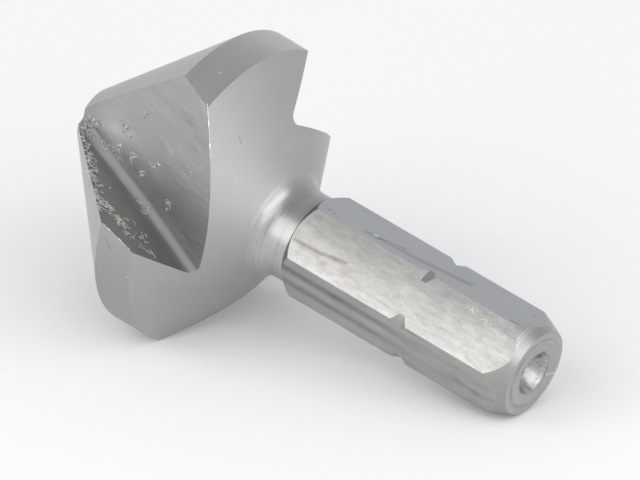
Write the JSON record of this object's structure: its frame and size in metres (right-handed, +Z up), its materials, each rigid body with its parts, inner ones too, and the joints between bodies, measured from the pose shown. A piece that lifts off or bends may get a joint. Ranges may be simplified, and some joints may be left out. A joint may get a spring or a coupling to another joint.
{
  "type": "countersink bit",
  "caption": "Countersink bit with straight V-ground flutes, a 90 degree cutting cone and a short hexagon quick-change shank.",
  "frame": {"origin": "middle of the bounding box, on the surface that the bit lies on", "axes": "+Z up; the tool axis lies in the XZ plane, with the shank towards +X and sloping down, and the cutting cone towards -X"},
  "size_m": [0.0348, 0.0204, 0.0193],
  "materials": {
    "ground_tool_steel": "satin, ground and turned tool steel"
  },
  "bodies": {
    "root": {"countersink_bit": "ground_tool_steel"}
  },
  "joints": []
}
